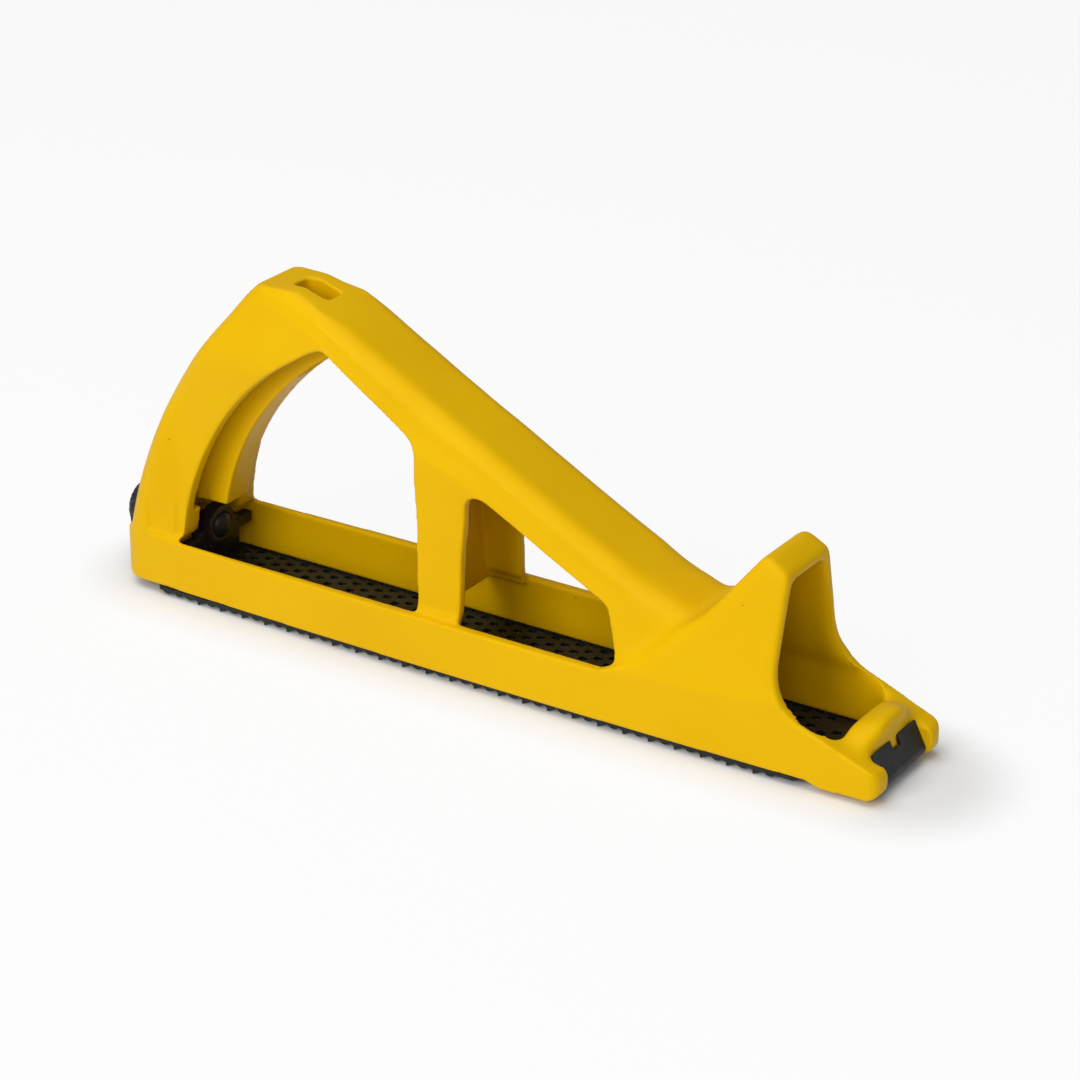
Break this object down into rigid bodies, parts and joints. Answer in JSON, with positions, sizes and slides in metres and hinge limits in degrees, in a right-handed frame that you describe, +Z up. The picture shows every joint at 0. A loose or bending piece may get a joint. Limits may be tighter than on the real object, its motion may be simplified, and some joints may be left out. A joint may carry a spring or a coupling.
{
  "type": "rasp plane",
  "caption": "Hand rasp plane with an arched open grip, a front horn with a chip scoop, and a perforated blade held by a tensioning knob.",
  "frame": {"origin": "on the tooth tips, at the middle of the blade's working length and of its width", "axes": "+X forwards to the toe, +Y to the far side, +Z up from the sole"},
  "size_m": [0.272, 0.0444, 0.1055],
  "materials": {
    "yellow_plastic": "satin moulded plastic, saturated warm yellow",
    "blackened_steel": "black coated sheet steel with ground tooth edges",
    "black_painted_steel": "black painted steel",
    "black_bolt": "blackened steel bolt",
    "plated_steel": "zinc plated steel",
    "black_plastic": "black moulded plastic"
  },
  "bodies": {
    "root": {"body": "yellow_plastic", "blade": "blackened_steel", "thrust_washer": "plated_steel"},
    "knob": {"tension_knob": "black_plastic", "knob_nut": "plated_steel"},
    "hook": {"blade_hook": "black_painted_steel", "draw_bolt": "black_bolt"}
  },
  "joints": [
    {"name": "knob_turn", "type": "hinge", "parent": "root", "child": "knob", "pos_m": [-0.142, 0, 0.0181], "axis": [-1, 0, 0], "range_deg": [0, 1080]},
    {"name": "hook_slide", "type": "slide", "parent": "root", "child": "hook", "axis": [1, 0, 0], "range_m": [0, 0.003]}
  ],
  "couplings": [
    {"joint": "knob_turn", "follows": "hook_slide", "rad_per_m": 6283.2}
  ]
}
